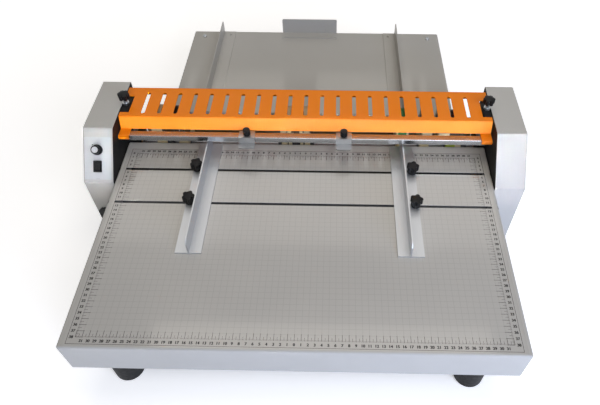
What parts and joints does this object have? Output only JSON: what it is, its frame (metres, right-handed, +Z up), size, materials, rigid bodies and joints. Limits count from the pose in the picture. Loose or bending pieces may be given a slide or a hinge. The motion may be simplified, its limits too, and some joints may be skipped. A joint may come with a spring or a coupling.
{
  "type": "creasing and perforating machine",
  "caption": "Tabletop paper creasing and perforating machine with a scaled infeed table, a slotted orange roller cover, side guides and a rear table with a stop.",
  "frame": {"origin": "Middle of the bounding box in plan, on the bench plane under the feet", "axes": "X to the right as the operator sees it, Y from the infeed table to the rear table, Z up"},
  "size_m": [0.796, 0.819, 0.246],
  "materials": {
    "grey_paint": "fine satin powder coat",
    "black_painted_steel": "matt black coat",
    "scale_film": "glossy printed polyester film",
    "zinc_steel": "bright zinc plate",
    "black_rubber": "moulded matt rubber",
    "bronze": "sintered bronze",
    "anodised_aluminium": "natural satin anodised",
    "bearing_aluminium": "as machined",
    "motor_enamel": "semi-gloss enamel",
    "polished_steel": "ground and polished",
    "ground_steel": "ground and oiled",
    "label_film": "printed label film",
    "black_plastic": "moulded phenolic with a slight sheen",
    "circuit_board": "solder resist",
    "dial_cap_metal": "spun and anodised",
    "orange_paint": "gloss powder coat",
    "cream_polyurethane": "cast polyurethane",
    "black_oxide_hubs": "black oxide",
    "green_plastic": "moulded nylon",
    "lime_plastic": "moulded nylon"
  },
  "bodies": {
    "frame": {"left_side_plate": "black_painted_steel", "right_side_plate": "black_painted_steel", "left_housing_shell": "grey_paint", "right_housing_shell": "grey_paint", "base_tray": "grey_paint", "front_table": "grey_paint", "table_scale_film": "scale_film", "front_foot_screws": "zinc_steel", "table_feet": "black_rubber", "housing_feet": "black_rubber", "rear_table": "grey_paint", "frame_screws": "zinc_steel", "left_bearing_stand": "black_painted_steel", "right_bearing_stand": "black_painted_steel", "lower_shaft_bushes": "bronze", "gear_motor": "motor_enamel", "cover_pivot_screws": "zinc_steel", "guide_bar": "polished_steel", "control_label_plate": "label_film", "rocker_bezel": "black_plastic", "speed_control_board": "circuit_board", "mains_inlet": "black_plastic"},
    "lower_rollers": {"lower_shaft": "ground_steel", "lower_gear": "ground_steel", "lower_feed_wheels": "cream_polyurethane", "lower_tool_holders": "black_oxide_hubs", "lower_creasing_ring": "lime_plastic"},
    "upper_rollers": {"upper_shaft": "ground_steel", "upper_gear": "ground_steel", "upper_feed_wheels": "cream_polyurethane", "upper_tool_holders": "black_oxide_hubs", "perforating_wheel": "ground_steel", "upper_creasing_ring": "green_plastic", "upper_set_screws": "zinc_steel"},
    "motor_pinion": {"motor_pinion": "ground_steel"},
    "left_adjuster": {"left_adjusting_screw": "zinc_steel", "left_adjusting_knob": "black_plastic"},
    "right_adjuster": {"right_adjusting_screw": "zinc_steel", "right_adjusting_knob": "black_plastic"},
    "bearing_blocks": {"left_bearing_block": "bearing_aluminium", "right_bearing_block": "bearing_aluminium"},
    "cover": {"slotted_cover": "orange_paint"},
    "left_clip": {"left_clip": "polished_steel"},
    "right_clip": {"right_clip": "polished_steel"},
    "left_clip_screw": {"left_clip_screw": "black_plastic"},
    "right_clip_screw": {"right_clip_screw": "black_plastic"},
    "left_side_guide": {"left_side_guide": "anodised_aluminium", "left_guide_nuts": "zinc_steel"},
    "right_side_guide": {"right_side_guide": "anodised_aluminium", "right_guide_nuts": "zinc_steel"},
    "left_front_guide_knob": {"left_front_guide_knob": "black_plastic"},
    "left_rear_guide_knob": {"left_rear_guide_knob": "black_plastic"},
    "right_front_guide_knob": {"right_front_guide_knob": "black_plastic"},
    "right_rear_guide_knob": {"right_rear_guide_knob": "black_plastic"},
    "left_rear_guide": {"left_rear_guide": "grey_paint"},
    "right_rear_guide": {"right_rear_guide": "grey_paint"},
    "rear_stop": {"rear_stop": "grey_paint"},
    "speed_dial": {"speed_dial": "black_plastic", "speed_dial_cap": "dial_cap_metal"},
    "rocker": {"rocker": "black_plastic"}
  },
  "joints": [
    {"name": "lower_roller_spin", "type": "hinge", "parent": "frame", "child": "lower_rollers", "pos_m": [0, 0.0485, 0.11925], "axis": [1, 0, 0], "continuous": true},
    {"name": "motor_pinion_spin", "type": "hinge", "parent": "frame", "child": "motor_pinion", "pos_m": [0.36, 0.0185, 0.06729], "axis": [1, 0, 0], "continuous": true},
    {"name": "bearing_block_lift", "type": "slide", "parent": "frame", "child": "bearing_blocks", "axis": [0, 0, 1], "range_m": [0, 0.002]},
    {"name": "left_adjuster_turn", "type": "hinge", "parent": "frame", "child": "left_adjuster", "pos_m": [-0.3375, 0.0485, 0.24], "axis": [0, 0, 1], "range_deg": [0, 576]},
    {"name": "right_adjuster_turn", "type": "hinge", "parent": "frame", "child": "right_adjuster", "pos_m": [0.3375, 0.0485, 0.24], "axis": [0, 0, 1], "range_deg": [0, 576]},
    {"name": "upper_roller_spin", "type": "hinge", "parent": "bearing_blocks", "child": "upper_rollers", "pos_m": [0, 0.0485, 0.18075], "axis": [1, 0, 0], "continuous": true},
    {"name": "cover_hinge", "type": "hinge", "parent": "frame", "child": "cover", "pos_m": [0, 0.087, 0.214], "axis": [-1, 0, 0], "range_deg": [0, 100]},
    {"name": "left_clip_slide", "type": "slide", "parent": "frame", "child": "left_clip", "axis": [1, 0, 0], "range_m": [-0.195, 0.085]},
    {"name": "right_clip_slide", "type": "slide", "parent": "frame", "child": "right_clip", "axis": [1, 0, 0], "range_m": [-0.06, 0.23]},
    {"name": "left_clip_screw_turn", "type": "hinge", "parent": "left_clip", "child": "left_clip_screw", "pos_m": [-0.1068, -0.008, 0.205], "axis": [0, 0, 1], "continuous": true},
    {"name": "right_clip_screw_turn", "type": "hinge", "parent": "right_clip", "child": "right_clip_screw", "pos_m": [0.0714, -0.008, 0.205], "axis": [0, 0, 1], "continuous": true},
    {"name": "left_side_guide_slide", "type": "slide", "parent": "frame", "child": "left_side_guide", "axis": [1, 0, 0], "range_m": [-0.128, 0.15]},
    {"name": "right_side_guide_slide", "type": "slide", "parent": "frame", "child": "right_side_guide", "axis": [1, 0, 0], "range_m": [-0.15, 0.128]},
    {"name": "left_front_guide_knob_turn", "type": "hinge", "parent": "left_side_guide", "child": "left_front_guide_knob", "pos_m": [-0.198, -0.1332, 0.165], "axis": [0, 0, 1], "continuous": true},
    {"name": "left_rear_guide_knob_turn", "type": "hinge", "parent": "left_side_guide", "child": "left_rear_guide_knob", "pos_m": [-0.198, -0.0531, 0.165], "axis": [0, 0, 1], "continuous": true},
    {"name": "right_front_guide_knob_turn", "type": "hinge", "parent": "right_side_guide", "child": "right_front_guide_knob", "pos_m": [0.198, -0.1332, 0.165], "axis": [0, 0, 1], "continuous": true},
    {"name": "right_rear_guide_knob_turn", "type": "hinge", "parent": "right_side_guide", "child": "right_rear_guide_knob", "pos_m": [0.198, -0.0531, 0.165], "axis": [0, 0, 1], "continuous": true},
    {"name": "left_rear_guide_slide", "type": "slide", "parent": "frame", "child": "left_rear_guide", "axis": [1, 0, 0], "range_m": [-0.038, 0.1]},
    {"name": "right_rear_guide_slide", "type": "slide", "parent": "frame", "child": "right_rear_guide", "axis": [1, 0, 0], "range_m": [-0.105, 0.069]},
    {"name": "rear_stop_slide", "type": "slide", "parent": "frame", "child": "rear_stop", "axis": [0, 1, 0], "range_m": [-0.23, 0]},
    {"name": "speed_dial_turn", "type": "hinge", "parent": "frame", "child": "speed_dial", "pos_m": [-0.3715, -0.05354, 0.19853], "axis": [0, 0.7071, -0.7071], "range_deg": [0, 280]},
    {"name": "rocker_tilt", "type": "hinge", "parent": "frame", "child": "rocker", "pos_m": [-0.3715, -0.07022, 0.17308], "axis": [1, 0, 0], "range_deg": [0, 16]}
  ],
  "couplings": [
    {"joint": "motor_pinion_spin", "follows": "lower_roller_spin", "ratio": -3},
    {"joint": "upper_roller_spin", "follows": "lower_roller_spin", "ratio": -1},
    {"joint": "left_adjuster_turn", "follows": "bearing_block_lift", "rad_per_m": 5026.5},
    {"joint": "right_adjuster_turn", "follows": "bearing_block_lift", "rad_per_m": 5026.5}
  ]
}
